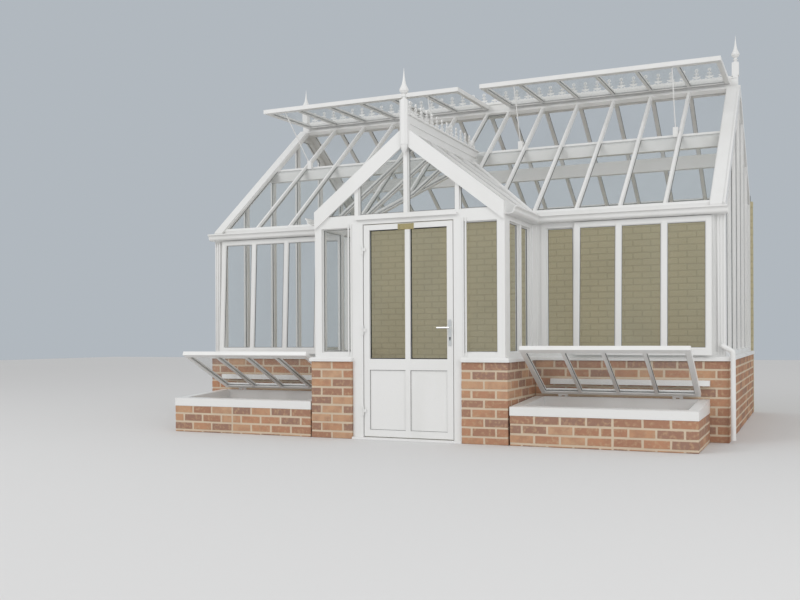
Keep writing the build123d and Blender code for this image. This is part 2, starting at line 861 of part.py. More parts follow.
with BuildPart() as finials:
    for side in (-1, 1):
        x = side * finial_x
        with BuildSketch(Plane.XY.offset(main_post_step)):
            with Locations((x, ridge_at)):
                Rectangle(finial_post, finial_post)
        extrude(amount=main_post_top - main_post_step)
        with BuildSketch(Plane.XY.offset(ridge_seat)):
            with Locations((x, ridge_at)):
                Rectangle(finial_foot, 2 * ridge_half)
        extrude(amount=main_post_step - ridge_seat)
        add(turned(spire_shape, x, ridge_at, main_post_top).part)
    with BuildSketch(Plane.XY.offset(porch_post_bottom)):
        with Locations((0, porch_front_edge - barge_thick)):
            RegularPolygon(porch_post / 2, 8, major_radius=False, rotation=22.5)
    extrude(amount=porch_post_top - porch_post_bottom)
    add(turned(spire_shape, 0, porch_front_edge - barge_thick, porch_post_top).part)
    add(turned(drop_shape, 0, porch_front_edge - barge_thick, porch_post_bottom).part)
    clearance_x = porch_post + finial_post
    with BuildSketch(Plane.XY.offset(porch_post_bottom - porch_post)):
        Polygon(
            *box_points(-clearance_x, clearance_x, porch_front_edge, porch_front_edge + porch_post),
            align=None,
        )
    extrude(amount=porch_ridge_top + porch_post - porch_post_bottom, mode=Mode.SUBTRACT)

# Barge boards of the porch, and verge caps on the four rakes of the house
barge_lift = 2
barge_top = bar_depth / cos(porch_pitch) + barge_lift
barge_drop = barge_width / cos(porch_pitch)
barge_from = porch_post / 2
verge_start = Plane(origin=(0, verge_foot, 0), z_dir=(0, 1, 0))
verge_stop = Plane(origin=(0, verge_head, 0), z_dir=(0, -1, 0))
with BuildPart() as barge_boards:
    with BuildSketch(upright(porch_front_edge)):
        Polygon(
            (barge_from, porch_under(barge_from) + barge_top - barge_drop),
            (barge_end, porch_under(barge_end) + barge_top - barge_drop),
            (barge_end, porch_under(barge_end) + barge_top),
            (barge_from, porch_under(barge_from) + barge_top), align=None,
        )
    extrude(amount=barge_thick)
    verge_to = half_length - verge_inset
    add(
        bar_panel(
            front_slope.offset(bar_depth),
            on_front(box_points(verge_to - verge_width, verge_to, -slope_margin, ridge_at + slope_margin)),
            [], verge_thick, [verge_start, verge_stop],
        ).part
    )
    add(
        bar_panel(
            rear_slope.offset(bar_depth),
            on_rear(
                box_points(verge_to - verge_width, verge_to, ridge_at - slope_margin, house_depth + slope_margin)
            ),
            [], verge_thick, rear_cuts,
        ).part
    )
barge_boards = both_sides(barge_boards)

# Ogee gutter along the wing and back along the porch side, with stopped ends
gutter_end = half_length + gutter_run_on
with BuildPart() as eaves_gutter:
    with BuildLine():
        Polyline((gutter_end, 0, gutter_low), (porch_half, 0, gutter_low), (porch_half, porch_front_edge, gutter_low))
    with BuildSketch(Plane(origin=(gutter_end, 0, gutter_low), x_dir=(0, -1, 0), z_dir=(-1, 0, 0))):
        with BuildLine():
            Polyline((0, gutter_height), (0, 0), (0.5 * gutter_reach, 0))
            ThreePointArc(
                (0.5 * gutter_reach, 0), (0.72 * gutter_reach, 0.14 * gutter_height),
                (0.8 * gutter_reach, 0.42 * gutter_height),
            )
            ThreePointArc(
                (0.8 * gutter_reach, 0.42 * gutter_height), (0.87 * gutter_reach, 0.7 * gutter_height),
                (gutter_reach, 0.84 * gutter_height),
            )
            Polyline(
                (gutter_reach, 0.84 * gutter_height), (gutter_reach, gutter_height),
                (gutter_reach - gutter_wall, gutter_height),
                (gutter_reach - gutter_wall, 0.9 * gutter_height),
            )
            ThreePointArc(
                (gutter_reach - gutter_wall, 0.9 * gutter_height),
                (0.87 * gutter_reach - gutter_wall, 0.74 * gutter_height),
                (0.8 * gutter_reach - gutter_wall, 0.44 * gutter_height),
            )
            ThreePointArc(
                (0.8 * gutter_reach - gutter_wall, 0.44 * gutter_height),
                (0.7 * gutter_reach - gutter_wall, 0.2 * gutter_height),
                (0.5 * gutter_reach, gutter_wall),
            )
            Polyline(
                (0.5 * gutter_reach, gutter_wall), (gutter_wall, gutter_wall),
                (gutter_wall, gutter_height), (0, gutter_height),
            )
        make_face()
    sweep(transition=Transition.RIGHT)

with BuildPart() as rear_gutter:
    with BuildSketch(sideways(-half_length)):
        Polygon(
            *box_points(
                house_depth, house_depth + brick_thick, rear_seat, rear_seat + rear_gutter_height
            ),
            align=None,
        )
        Polygon(
            *box_points(
                house_depth + gutter_wall, house_depth + brick_thick - gutter_wall,
                rear_seat + gutter_wall, rear_seat + rear_gutter_height,
            ),
            align=None, mode=Mode.SUBTRACT,
        )
    extrude(amount=2 * half_length)

# Downpipe out of the right corner post and down past the sill
pipe_x = half_length + sill_proud + pipe_out
pipe_y = -sill_proud - pipe_forward
pipe_from = half_length - pipe_start_in
pipe_level = sill_top + pipe_outlet
with BuildPart() as downpipe:
    with BuildLine():
        FilletPolyline(
            (pipe_from, 0, pipe_level), (pipe_from, pipe_y + pipe_offset, pipe_level),
            (pipe_x, pipe_y, pipe_level - pipe_elbow), (pipe_x, pipe_y, pipe_ground_gap), radius=pipe_bend,
        )
    with BuildSketch(Plane(origin=(pipe_from, 0, pipe_level), z_dir=(0, -1, 0))):
        RegularPolygon(pipe_radius, 12)
    sweep(transition=Transition.RIGHT)

# Ridge vents, hung beside the ridge and standing open
vent_hinge_z = front_under(front_end_of_ridge) + bar_depth / cos(main_pitch) + vent_clear
vent_plane = Plane(
    origin=(0, front_end_of_ridge, vent_hinge_z), x_dir=(1, 0, 0),
    z_dir=(0, sin(vent_lift), cos(vent_lift)),
)
vent_back = -0.1
vent_x0 = vent_gap - vent_lap
vent_x1 = edge_line + vent_lap
vent_lines = rafter_lines[::-1]
vent_panes = []
for x_from, x_to in zip(vent_lines, vent_lines[1:]):
    x0 = vent_x0 + vent_rail if x_from == vent_gap else x_from + vent_bar / 2
    x1 = vent_x1 - vent_rail if x_to == edge_line else x_to - vent_bar / 2
    vent_panes.append(box_points(x0, x1, vent_foot_rail - vent_length, vent_back - vent_rail))
roof_vents = both_sides(
    bar_panel(vent_plane, box_points(vent_x0, vent_x1, -vent_length, vent_back), vent_panes, vent_thick)
)
vent_glass = both_sides(glazing([(vent_plane, vent_panes)]))

# Stays that hold the vents up, each out of a small housing on the header
housing = 50
housing_height = 98
stay_places = [rafter_lines[k] - half_bar - housing / 2 - stay_clear for k in stay_bars]
stay_top_y = front_end_of_ridge - (vent_length - vent_foot_rail / 2) * cos(vent_lift)
stay_foot_z = front_under(front_purlin_at)


def stay(x, lean=0):
    foot = Vector(x, front_purlin_at, stay_foot_z + housing_height / 2)
    head = Vector(x + lean, stay_top_y, vent_hinge_z + vent_length * sin(vent_lift))
    way = (head - foot).normalized()
    with BuildPart() as piece:
        with BuildSketch(Plane(origin=foot, z_dir=way)):
            RegularPolygon(stay_radius, 6)
        extrude(amount=(head - foot).length + vent_thick)
        split(bisect_by=Plane(origin=vent_plane.origin, z_dir=-vent_plane.z_dir), keep=Keep.TOP)
        with BuildSketch(Plane.YZ.offset(x - housing / 2)):
            with Locations((front_purlin_at, stay_foot_z)):
                Rectangle(housing, 2 * housing_height)
        extrude(amount=housing)
        split(bisect_by=front_slope, keep=Keep.TOP)
    return piece


with BuildPart() as vent_stays:
    for x in stay_places:
        add(stay(x).part)
    add(stay(-stay_places[0]).part)
    add(stay(-stay_places[1], left_stay_lean).part)

# Cold frames against the dwarf wall: low brick walls, a white rim with sloping cheeks, and a
# glazed lid hung from a rail on the wall
wall_face = -brick_proud


def cold_walls(x0, x1):
    with BuildPart() as walls:
        with BuildSketch():
            Polygon(*box_points(x0, x1, -cold_reach, wall_face), align=None)
            Polygon(
                *box_points(x0 + brick_thick, x1 - brick_thick, brick_thick - cold_reach, wall_face),
                align=None, mode=Mode.SUBTRACT,
            )
        extrude(amount=cold_wall_height)
    return walls


def cold_rim(x0, x1, lid_x0, lid_x1):
    rail_back = wall_face - wall_rail_thick
    with BuildPart() as rim:
        with BuildSketch(sideways(x0)):
            Polygon(
                (-cold_reach, cold_wall_height), (wall_face, cold_wall_height), (wall_face, cheek_top),
                (rail_back, cheek_top), (-cold_reach, rim_top), align=None,
            )
        extrude(amount=x1 - x0)
        with BuildSketch(Plane.XY.offset(cold_wall_height)):
            Polygon(
                *box_points(x0 + cheek_thick, x1 - cheek_thick, rim_width - cold_reach, rail_back),
                align=None,
            )
        extrude(amount=cheek_top - cold_wall_height, mode=Mode.SUBTRACT)
        for middle in (lid_x0 + lid_hinge_inset, lid_x1 - lid_hinge_inset):
            for x in (middle - 1.5 * knuckle, middle + 0.5 * knuckle):
                with BuildSketch(sideways(x)):
                    with Locations((lid_hinge_y, lid_hinge_z)):
                        RegularPolygon(lid_hinge_radius, 8)
                    Polygon(
                        (lid_hinge_y, lid_hinge_z - lid_hinge_radius / 2), (rail_back, cheek_top - lid_hinge_radius),
                        (rail_back + lid_hinge_radius, cheek_top), (rail_back + lid_hinge_radius, lid_hinge_z),
                        (lid_hinge_y, lid_hinge_z), align=None,
                    )
                extrude(amount=knuckle)
    return rim


def lid_plane(lift):
    return Plane(origin=(0, lid_hinge_y, lid_hinge_z), x_dir=(-1, 0, 0), z_dir=(0, sin(lift), cos(lift)))


def lid_panes(x0, x1):
    pane = (x1 - x0 - 2 * lid_rail - (lid_bays - 1) * lid_bar) / lid_bays
    starts = [x0 + lid_rail + k * (pane + lid_bar) for k in range(lid_bays)]
    return [
        box_points(-x - pane, -x, lid_gap + lid_rail, lid_length + lid_gap - lid_foot_rail) for x in starts
    ]


def lid_frame(x0, x1, lift):
    plane = lid_plane(lift)
    with BuildPart() as lid:
        add(bar_panel(plane, box_points(-x1, -x0, lid_gap, lid_length + lid_gap), lid_panes(x0, x1), lid_thick).part)
        for middle in (x0 + lid_hinge_inset, x1 - lid_hinge_inset):
            x = middle - knuckle / 2 + hinge_play
            length = knuckle - 2 * hinge_play
            with BuildSketch(sideways(x)):
                with Locations((lid_hinge_y, lid_hinge_z)):
                    Circle(lid_hinge_radius)
            extrude(amount=length)
            with BuildSketch(plane):
                Polygon(*box_points(-x - length, -x, 0, lid_gap), align=None)
            extrude(amount=lid_hinge_radius)
    return lid


cold_from = porch_half + brick_proud + cold_gap
cold_to = half_length - cold_short
lid_from = cold_from + lid_inset
lid_to = cold_to - lid_inset
wall_rail_from = cold_from + wall_rail_inset
wall_rail_to = half_length - wall_rail_short
cold_frame_walls = both_sides(cold_walls(cold_from, cold_to))
with BuildPart() as rim_and_rail:
    add(cold_rim(cold_from, cold_to, lid_from, lid_to).part)
    with BuildSketch(sideways(wall_rail_from)):
        Polygon(
            *box_points(wall_face - wall_rail_thick, wall_face, wall_rail_low, wall_rail_high), align=None
        )
    extrude(amount=wall_rail_to - wall_rail_from)
cold_frame_rims = both_sides(rim_and_rail)
lid_right = lid_frame(lid_from, lid_to, lift_right)
lid_left = lid_frame(-lid_to, -lid_from, lift_left)
lid_glass_right = glazing([(lid_plane(lift_right), lid_panes(lid_from, lid_to))])
lid_glass_left = glazing([(lid_plane(lift_left), lid_panes(-lid_to, -lid_from))])

pieces = {
    "floor_slab": floor_slab,
    "brick_fronts": both_sides(brick_front),
    "brick_ends": both_sides(brick_end),
    "brick_porch_sides": both_sides(brick_porch_side),
    "back_wall": back_wall,
    "sills": both_sides(sill),
    "front_frames": both_sides(front_frame),
    "end_frames": both_sides(end_frame),
    "porch_frame_right": porch_frame_right,
    "porch_frame_left": mirrored(porch_frame_right),
    "porch_gable": porch_gable,
    "door_frame": door_frame,
    "door_leaf": door_leaf,
    "door_glass": door_glass,
    "door_handle": door_handle,
    "side_sashes": side_sashes,
    "sash_glass": sash_glass,
    "front_glass": front_glass,
    "end_glass": end_glass,
    "porch_glass": porch_glass,
    "front_rafters": both_sides(rafter_set),
    "front_rails": both_sides(rail_set),
    "roof_purlins": roof_purlins,
    "front_roof_glass": front_roof_glass,
    "rear_roof": rear_roof,
    "rear_roof_glass": rear_roof_glass,
    "porch_roof_right": porch_roof_right,
    "porch_roof_left": mirrored(porch_roof_right),
    "porch_roof_glass": porch_roof_glass,
    "ridges": ridges,
    "cresting": cresting,
    "finials": finials,
    "barge_boards": barge_boards,
    "eaves_gutters": both_sides(eaves_gutter),
    "rear_gutter": rear_gutter,
    "downpipe": downpipe,
    "roof_vents": roof_vents,
    "vent_glass": vent_glass,
    "vent_stays": vent_stays,
    "cold_frame_walls": cold_frame_walls,
    "cold_frame_rims": cold_frame_rims,
    "lid_right": lid_right,
    "lid_left": lid_left,
    "lid_glass_right": lid_glass_right,
    "lid_glass_left": lid_glass_left,
}
for name, piece in pieces.items():
    piece.part.label = name
    export_step(piece.part, f"parts/{name}.step")
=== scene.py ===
import json
import math
import random

import bmesh
import bpy
from mathutils import Matrix, Vector


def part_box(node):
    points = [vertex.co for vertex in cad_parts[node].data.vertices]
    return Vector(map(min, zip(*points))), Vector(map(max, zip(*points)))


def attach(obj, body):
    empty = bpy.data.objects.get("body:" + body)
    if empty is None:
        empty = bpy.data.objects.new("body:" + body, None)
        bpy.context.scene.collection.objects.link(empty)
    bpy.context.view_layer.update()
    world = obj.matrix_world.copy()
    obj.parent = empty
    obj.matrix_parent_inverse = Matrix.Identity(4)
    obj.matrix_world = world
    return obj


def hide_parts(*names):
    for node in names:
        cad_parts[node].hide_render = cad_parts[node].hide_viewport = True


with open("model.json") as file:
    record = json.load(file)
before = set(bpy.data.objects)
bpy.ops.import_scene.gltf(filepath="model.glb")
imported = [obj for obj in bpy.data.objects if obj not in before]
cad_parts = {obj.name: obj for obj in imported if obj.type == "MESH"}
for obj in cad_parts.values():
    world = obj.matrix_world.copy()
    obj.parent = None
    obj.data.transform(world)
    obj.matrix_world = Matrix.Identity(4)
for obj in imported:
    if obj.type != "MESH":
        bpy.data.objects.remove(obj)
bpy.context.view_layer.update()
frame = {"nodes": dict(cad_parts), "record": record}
nodes = frame["nodes"]
print("frame loaded:", len(nodes), "nodes")


# A socket that can be used in plain expressions
class Wire:
    def __init__(self, tree, socket):
        self.tree = tree
        self.socket = socket

    def math(self, operation, first, second):
        node = self.tree.nodes.new("ShaderNodeMath")
        node.operation = operation
        for slot, value in zip(node.inputs, (first, second)):
            if isinstance(value, Wire):
                self.tree.links.new(value.socket, slot)
            else:
                slot.default_value = value
        return Wire(self.tree, node.outputs[0])

    def beside(self, output):  # another output of the same node
        return Wire(self.tree, self.socket.node.outputs[output])

    def __add__(self, other):
        return self.math("ADD", self, other)

    def __radd__(self, other):
        return self.math("ADD", other, self)

    def __sub__(self, other):
        return self.math("SUBTRACT", self, other)

    def __rsub__(self, other):
        return self.math("SUBTRACT", other, self)

    def __mul__(self, other):
        return self.math("MULTIPLY", self, other)

    def __rmul__(self, other):
        return self.math("MULTIPLY", other, self)

    def __pow__(self, other):
        return self.math("POWER", self, other)

    def __rpow__(self, other):
        return self.math("POWER", other, self)


def rgb(red, green, blue):
    return (red, green, blue, 1)


# The nodes that feed one shader
class Shading:
    def __init__(self, tree, shader, uniform=None):
        self.tree = tree
        self.shader = tree.nodes[shader]
        for socket, value in (uniform or {}).items():
            self.shader.inputs[socket].default_value = value

    def add(self, kind, settings=None, sockets=None, output=0):
        node = self.tree.nodes.new(kind)
        for key, value in (settings or {}).items():
            if key == "stops":
                ramp = node.color_ramp
                while len(ramp.elements) < len(value):
                    ramp.elements.new(0.5)
                for element, (place, colour) in zip(ramp.elements, value):
                    element.position = place
                    element.color = rgb(*colour)
            else:
                setattr(node, key, value)
        for key, value in (sockets or {}).items():
            if isinstance(value, Wire):
                self.tree.links.new(value.socket, node.inputs[key])
            else:
                node.inputs[key].default_value = value
        return Wire(self.tree, node.outputs[output])

    def place(self):
        return self.add("ShaderNodeTexCoord", output="Object")

    def stretched(self, scale):
        return self.add(
            "ShaderNodeVectorMath", {"operation": "MULTIPLY"}, {0: self.place(), 1: scale}
        )

    def noise(self, spread, vector=None):
        return self.add(
            "ShaderNodeTexNoise", None,
            {
                "Vector": vector or self.place(), "Scale": spread["scale"],
                "Detail": spread["detail"],
            },
        )

    # Noise cut to patches: nothing below "from" and all of it above "to"
    def patches(self, spread, vector=None):
        return self.add(
            "ShaderNodeMapRange", None,
            {0: self.noise(spread, vector), 1: spread["from"], 2: spread["to"], 3: 0.0, 4: 1.0},
        )

    def ramp(self, factor, stops):
        return self.add("ShaderNodeValToRGB", {"stops": stops}, {0: factor})

    def mix(self, factor, first, second):
        sides = [side if isinstance(side, Wire) else rgb(*side) for side in (first, second)]
        return self.add(
            "ShaderNodeMix", {"data_type": "RGBA"}, {0: factor, 6: sides[0], 7: sides[1]}, output=2
        )

    def feed(self, socket, wire):
        self.tree.links.new(wire.socket, self.shader.inputs[socket])


class Finish(Shading):
    def __init__(self, name, uniform):
        self.material = bpy.data.materials.new(name)
        self.material.use_nodes = True
        super().__init__(self.material.node_tree, "Principled BSDF", uniform)

    def bump(self, height, strength, distance):
        normal = self.add(
            "ShaderNodeBump", None,
            {"Height": height, "Strength": strength, "Distance": distance},
        )
        self.feed("Normal", normal)


# In each finish a "Share" says how far its patches cover the tone below them
powderCoat = {
    "clean": (0.82, 0.82, 0.81), "dirty": (0.7, 0.7, 0.67), "speck": (0.55, 0.54, 0.48),
    "grime": {"scale": 2.2, "detail": 5.0, "from": 0.5, "to": 0.82},
    "specks": {"scale": 60.0, "detail": 2.0, "from": 0.62, "to": 0.8},
    "peel": {"scale": 900.0, "detail": 1.0}, "streaks": (1.0, 1.0, 0.35),
    "grimeShare": 0.5, "speckShare": 0.12, "specular": 0.42, "roughness": 0.32,
    "grimeRoughness": 0.18, "bumpStrength": 0.08, "bumpDepth": 0.0004,
}


def makePowderCoat():
    look = powderCoat
    f = Finish("whitePowderCoat", {"Specular IOR Level": look["specular"]})
    grime = f.patches(look["grime"], f.stretched(look["streaks"]))
    specks = f.patches(look["specks"])
    clean = f.mix(grime * look["grimeShare"], look["clean"], look["dirty"])
    f.feed("Base Color", f.mix(specks * look["speckShare"], clean, look["speck"]))
    f.feed("Roughness", grime * look["grimeRoughness"] + look["roughness"])
    f.bump(f.noise(look["peel"]), look["bumpStrength"], look["bumpDepth"])
    return f.material


# The glass shows most where it is seen at a slant
clearGlass = {
    "tint": (0.42, 0.48, 0.47), "ior": 1.5, "slant": 0.32, "slantPower": 3.0, "slantAlpha": 0.34,
    "smears": {"scale": 1.7, "detail": 4.0, "from": 0.45, "to": 0.8}, "streaks": (1.0, 1.0, 0.4),
    "smearAlpha": 0.04, "alpha": 0.045, "smearRoughness": 0.08, "roughness": 0.02,
}


def makeGlass():
    look = clearGlass
    f = Finish("clearGlass", {"IOR": look["ior"], "Base Color": rgb(*look["tint"])})
    edge = f.add("ShaderNodeLayerWeight", None, {"Blend": look["slant"]}, output="Facing")
    smears = f.patches(look["smears"], f.stretched(look["streaks"]))
    slanted = (edge ** look["slantPower"]) * look["slantAlpha"]
    f.feed("Alpha", slanted + smears * look["smearAlpha"] + look["alpha"])
    f.feed("Roughness", smears * look["smearRoughness"] + look["roughness"])
    return f.material


facingBrick = {
    "tones": (
        (0.0, (0.29, 0.175, 0.14)), (0.12, (0.39, 0.195, 0.125)), (0.38, (0.48, 0.245, 0.15)),
        (0.62, (0.53, 0.305, 0.185)), (0.86, (0.58, 0.37, 0.24)), (1.0, (0.47, 0.22, 0.125)),
    ),
    "burntTone": (0.32, 0.16, 0.11), "sandTone": (0.58, 0.41, 0.26), "grainTone": (0.58, 0.4, 0.26),
    "burnt": {"scale": 17.0, "detail": 6.0, "from": 0.42, "to": 0.64},
    "sanded": {"scale": 34.0, "detail": 7.0, "from": 0.5, "to": 0.68},
    "grain": {"scale": 160.0, "detail": 4.0}, "burntShare": 0.5, "sandShare": 0.55,
    "grainShare": 0.25, "grainHeight": 0.5, "burntHeight": 0.3, "sandHeight": 0.4,
    "specular": 0.2, "roughness": 0.9, "bumpStrength": 0.7, "bumpDepth": 0.003,
}


def makeBrick():
    look = facingBrick
    f = Finish(
        "facingBrick", {"Roughness": look["roughness"], "Specular IOR Level": look["specular"]}
    )
    tone = f.add("ShaderNodeAttribute", {"attribute_name": "tone"}, output="Fac")
    burnt = f.patches(look["burnt"])
    sanded = f.patches(look["sanded"])
    grain = f.noise(look["grain"])
    base = f.ramp(tone, look["tones"])
    mottled = f.mix(burnt * look["burntShare"], base, look["burntTone"])
    dusted = f.mix(sanded * look["sandShare"], mottled, look["sandTone"])
    f.feed("Base Color", f.mix(grain * look["grainShare"], dusted, look["grainTone"]))
    height = grain * look["grainHeight"] + burnt * look["burntHeight"] + sanded * look["sandHeight"]
    f.bump(height, look["bumpStrength"], look["bumpDepth"])
    return f.material


paleMortar = {
    "pale": (0.72, 0.61, 0.47), "dark": (0.55, 0.45, 0.34),
    "clouds": {"scale": 4.0, "detail": 3.0}, "sand": {"scale": 320.0, "detail": 3.0},
    "specular": 0.15, "roughness": 0.95, "bumpStrength": 0.5, "bumpDepth": 0.0012,
}


def makeMortar():
    look = paleMortar
    f = Finish(
        "paleMortar", {"Roughness": look["roughness"], "Specular IOR Level": look["specular"]}
    )
    sand = f.noise(look["sand"])
    f.feed("Base Color", f.mix(f.noise(look["clouds"]), look["pale"], look["dark"]))
    f.bump(sand, look["bumpStrength"], look["bumpDepth"])
    return f.material


# The cream tones of wall and joints are set darker than the wall's own cream paint, as painted
# shade for the inside of the glasshouse. The soil patches and chips on them are real dirt and wear.
paintedBrick = {
    "wall": {"clean": (0.55, 0.495, 0.32), "soiled": (0.45, 0.4, 0.255)},
    "joint": {"clean": (0.485, 0.43, 0.28), "soiled": (0.395, 0.35, 0.225)},
    "chipTone": (0.5, 0.42, 0.26),
    "soil": {"scale": 1.6, "detail": 5.0, "from": 0.42, "to": 0.8},
    "chips": {"scale": 48.0, "detail": 6.0, "from": 0.62, "to": 0.7},
    "lumps": {"scale": 90.0, "detail": 4.0}, "soilShare": 0.6, "chipShare": 0.3,
    "specular": 0.3, "roughness": 0.72, "bumpStrength": 0.6, "bumpDepth": 0.003,
}


def makePaintedBrick(name, tones):
    look = paintedBrick
    f = Finish(name, {"Roughness": look["roughness"], "Specular IOR Level": look["specular"]})
    soil = f.patches(look["soil"])
    chips = f.patches(look["chips"])
    paint = f.mix(soil * look["soilShare"], tones["clean"], tones["soiled"])
    f.feed("Base Color", f.mix(chips * look["chipShare"], paint, look["chipTone"]))
    f.bump(f.noise(look["lumps"]), look["bumpStrength"], look["bumpDepth"])
    return f.material


screed = {
    "dark": (0.42, 0.41, 0.38), "pale": (0.58, 0.56, 0.52),
    "clouds": {"scale": 5.0, "detail": 6.0}, "pits": {"scale": 140.0, "detail": 4.0},
    "roughness": 0.85, "bumpStrength": 0.4, "bumpDepth": 0.001,
}


def makeConcrete():
    look = screed
    f = Finish("screed", {"Roughness": look["roughness"]})
    f.feed("Base Color", f.mix(f.noise(look["clouds"]), look["dark"], look["pale"]))
    f.bump(f.noise(look["pits"]), look["bumpStrength"], look["bumpDepth"])
    return f.material


darkCoat = {
    "clean": (0.1, 0.105, 0.11), "dusty": (0.22, 0.22, 0.21),
    "dust": {"scale": 6.0, "detail": 4.0, "from": 0.45, "to": 0.8}, "dustShare": 0.6,
    "specular": 0.4, "dustRoughness": 0.3, "roughness": 0.38,
}


def makeGreyMetal():
    look = darkCoat
    f = Finish("darkGreyCoat", {"Specular IOR Level": look["specular"]})
    dust = f.patches(look["dust"])
    f.feed("Base Color", f.mix(dust * look["dustShare"], look["clean"], look["dusty"]))
    f.feed("Roughness", dust * look["dustRoughness"] + look["roughness"])
    return f.material


polished = {
    "bright": (0.9, 0.9, 0.88), "rubbed": (0.78, 0.78, 0.75),
    "rub": {"scale": 40.0, "detail": 4.0}, "strokes": (1.0, 1.0, 6.0), "rubShare": 0.4,
    "rubRoughness": 0.2, "roughness": 0.24,
}


def makeChrome():
    look = polished
    f = Finish("polishedMetal", {"Metallic": 1.0})
    rub = f.noise(look["rub"], f.stretched(look["strokes"]))
    f.feed("Base Color", f.mix(rub * look["rubShare"], look["bright"], look["rubbed"]))
    f.feed("Roughness", rub * look["rubRoughness"] + look["roughness"])
    return f.material


# Each rubber runs from its own grey to that of its dust, which is a little warm
gasketRubber = {
    "black": (0.012, 0.05), "grey": (0.16, 0.3), "warmth": 0.97,
    "dust": {"scale": 30.0, "detail": 3.0}, "specular": 0.3, "dustRoughness": 0.2,
    "roughness": 0.55,
}


def makeRubber(name, tones):
    look = gasketRubber
    own, dusty = tones
    f = Finish(name, {"Specular IOR Level": look["specular"]})
    dust = f.noise(look["dust"])
    f.feed("Base Color", f.mix(dust, (own, own, own), (dusty, dusty, dusty * look["warmth"])))
    f.feed("Roughness", dust * look["dustRoughness"] + look["roughness"])
    return f.material


agedBrass = {
    "bright": (0.6, 0.5, 0.26), "stained": (0.33, 0.27, 0.14),
    "stain": {"scale": 24.0, "detail": 5.0, "from": 0.35, "to": 0.75}, "stainShare": 0.6,
    "stainRoughness": 0.3, "roughness": 0.25,
}


def makeBrass():
    look = agedBrass
    f = Finish("agedBrass", {"Metallic": 1.0})
    stain = f.patches(look["stain"])
    f.feed("Base Color", f.mix(stain * look["stainShare"], look["bright"], look["stained"]))
    f.feed("Roughness", stain * look["stainRoughness"] + look["roughness"])
    return f.material


finishes = {
    "white_frame": makePowderCoat(),
    "glass": makeGlass(),
    "brick": makeBrick(),
    "painted_wall": makePaintedBrick("shadedCreamBrick", paintedBrick["wall"]),
    "floor": makeConcrete(),
    "grey_metal": makeGreyMetal(),
    "bright_metal": makeChrome(),
}
mortar = makeMortar()
# The back wall's joints are darker than its bricks, in a cream that is also toned down as painted
# shade
shadedCreamJoint = makePaintedBrick("shadedCreamJoint", paintedBrick["joint"])
rubber = makeRubber("blackGasket", gasketRubber["black"])
greyRubber = makeRubber("greyGasket", gasketRubber["grey"])
brass = makeBrass()
print("finishes made for", len(finishes), "slots")

# CAD nodes take their finish from their slot, and bars get a fine rounded edge
edgeRounding = {"width": 0.0022, "segments": 2, "sharpest": math.radians(40)}
for row in frame["record"]["subparts"]:
    cad = nodes[row["node"]]
    cad.data.materials.clear()
    cad.data.materials.append(finishes[row["material_slot"]])
    if row["material_slot"] in ("white_frame", "grey_metal"):
        rounding = cad.modifiers.new("roundedEdges", "BEVEL")
        rounding.width = edgeRounding["width"]
        rounding.segments = edgeRounding["segments"]
        rounding.limit_method = "ANGLE"
        rounding.angle_limit = edgeRounding["sharpest"]
print("CAD nodes dressed")


boxSides = ((0, 2, 3, 1), (4, 5, 7, 6), (0, 1, 5, 4), (2, 6, 7, 3), (0, 4, 6, 2), (1, 3, 7, 5))


def addBox(mesh, low, high, tone=None, toneLayer=None, worn=None):
    spots = [
        Vector((x, y, z)) for z in (low[2], high[2]) for y in (low[1], high[1])
        for x in (low[0], high[0])
    ]
    if worn:
        middle = (Vector(low) + Vector(high)) / 2
        for spot in spots:
            for axis in range(3):
                spot[axis] += math.copysign(worn(), middle[axis] - spot[axis])
    corners = [mesh.verts.new(spot) for spot in spots]
    for a, b, c, d in boxSides:
        face = mesh.faces.new([corners[i] for i in (a, b, c, d)])
        if toneLayer is not None:
            for loop in face.loops:
                loop[toneLayer] = (tone, tone, tone, 1)


def finishMesh(mesh, name, materials, body, bevel=None):
    data = bpy.data.meshes.new(name)
    mesh.to_mesh(data)
    mesh.free()
    piece = bpy.data.objects.new(name, data)
    bpy.context.scene.collection.objects.link(piece)
    for material in materials:
        data.materials.append(material)
    if bevel:
        rounding = piece.modifiers.new("roundedEdges", "BEVEL")
        rounding.width = bevel
        rounding.segments = 1
        rounding.limit_method = "ANGLE"
    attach(piece, body)
    return piece


# Brickwork: stretcher bond on a recessed mortar core. A run starts at its outer corner, which it
# holds in every other course.
bricks = {
    "length": 0.212, "height": 0.07, "joint": 0.013, "recess": 0.0035, "edge": 0.003,
    "thick": 0.103, "coldGap": 0.012, "seed": 7, "shortest": 0.045, "lowest": 0.012,
    "wobble": 0.0012, "out": 0.0015, "worn": 0.0022, "coreTone": 0.5,
}


def layRun(mesh, layer, run, course, low, high, rng):
    axis, corner, far, acrossLow, acrossHigh, holdsEven = run
    way = 1 if far > corner else -1
    holds = (course % 2 == 0) == holdsEven

    def worn():
        return rng.uniform(0.0, bricks["worn"])

    place = 0.0 if holds else bricks["thick"] + bricks["joint"]
    end = abs(far - corner)
    while place < end - bricks["lowest"]:
        stop = min(place + bricks["length"], end)
        if end - stop < bricks["shortest"]:
            stop = end
        a, b = sorted((corner + way * place, corner + way * stop))
        tone = rng.random()
        out = rng.uniform(0.0, bricks["out"])
        lift = rng.uniform(-bricks["out"], 0.0) if low > 0 else 0.0
        b -= rng.uniform(0.0, bricks["wobble"])
        if axis == "X":
            foot, head = (a, acrossLow + out, low), (b, acrossHigh - out, high + lift)
        else:
            foot, head = (acrossLow + out, a, low), (acrossHigh - out, b, high + lift)
        addBox(mesh, foot, head, tone, layer, worn)
        place = stop + bricks["joint"]


